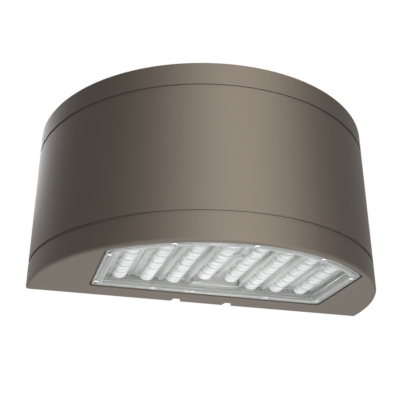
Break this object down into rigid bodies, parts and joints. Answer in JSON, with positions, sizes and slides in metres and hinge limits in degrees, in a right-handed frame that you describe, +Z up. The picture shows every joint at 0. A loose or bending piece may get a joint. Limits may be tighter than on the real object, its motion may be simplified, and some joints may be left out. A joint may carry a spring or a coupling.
{
  "type": "wall pack light",
  "caption": "Half-round bronze wall pack light with a lensed LED panel underneath; the housing hinges up from its wall plate.",
  "frame": {"origin": "centre of the wire entry in the wall plate, on the wall plane", "axes": "+Y into the wall, -Y to the round front, +Z up, +X to the right seen from the front"},
  "size_m": [0.381, 0.194, 0.1868],
  "materials": {
    "bronze_powder_coat": "satin dark bronze powder coat with a fine texture",
    "clear_lens": "clear moulded polycarbonate, gloss",
    "stainless": "bright stainless steel",
    "black_rubber": "matt silicone rubber",
    "white_silicone": "satin white silicone",
    "white_board": "white solder mask",
    "led_chip": "phosphor under silicone",
    "cream_plastic": "satin cream plastic",
    "grey_pad": "matt silicone pad",
    "cast_aluminium": "bare die-cast",
    "zinc_steel": "zinc-plated sheet",
    "green_screw": "green-dyed zinc",
    "driver_can": "satin white enamel",
    "dark_plastic": "matt moulded",
    "red_lead": "satin insulation",
    "blue_lead": "satin insulation",
    "black_lead": "satin insulation"
  },
  "bodies": {
    "wall_bracket": {"wall_plate": "bronze_powder_coat", "edge_gasket": "black_rubber", "wall_gasket": "black_rubber", "wire_bushing": "black_rubber", "ground_washer": "zinc_steel", "ground_screw": "green_screw"},
    "closing_screw_right": {"closing_screw_right": "stainless"},
    "closing_screw_left": {"closing_screw_left": "stainless"},
    "housing": {"housing": "bronze_powder_coat", "hinge_pins": "stainless", "lens": "clear_lens", "lens_gasket": "white_silicone", "lens_screws": "stainless", "led_board": "white_board", "led_chips": "led_chip", "board_connector": "cream_plastic", "optic_screws": "stainless", "thermal_pad": "grey_pad", "heat_sink": "cast_aluminium", "lead_grommet": "black_rubber", "heat_sink_screws": "stainless", "driver_bracket": "zinc_steel", "bracket_screws": "stainless", "driver": "driver_can", "surge_protector": "dark_plastic", "terminal_block": "cream_plastic", "lead_positive": "red_lead", "lead_negative": "blue_lead", "supply_leads": "black_lead"}
  },
  "joints": [
    {"name": "housing_hinge", "type": "hinge", "parent": "wall_bracket", "child": "housing", "pos_m": [0, -0.018, 0.0844], "axis": [-1, 0, 0], "range_deg": [0, 88]},
    {"name": "closing_screw_right_turn", "type": "hinge", "parent": "wall_bracket", "child": "closing_screw_right", "pos_m": [0.0295, -0.007, -0.0797], "axis": [0, 0, -1], "continuous": true},
    {"name": "closing_screw_left_turn", "type": "hinge", "parent": "wall_bracket", "child": "closing_screw_left", "pos_m": [-0.0295, -0.007, -0.0797], "axis": [0, 0, -1], "continuous": true}
  ]
}
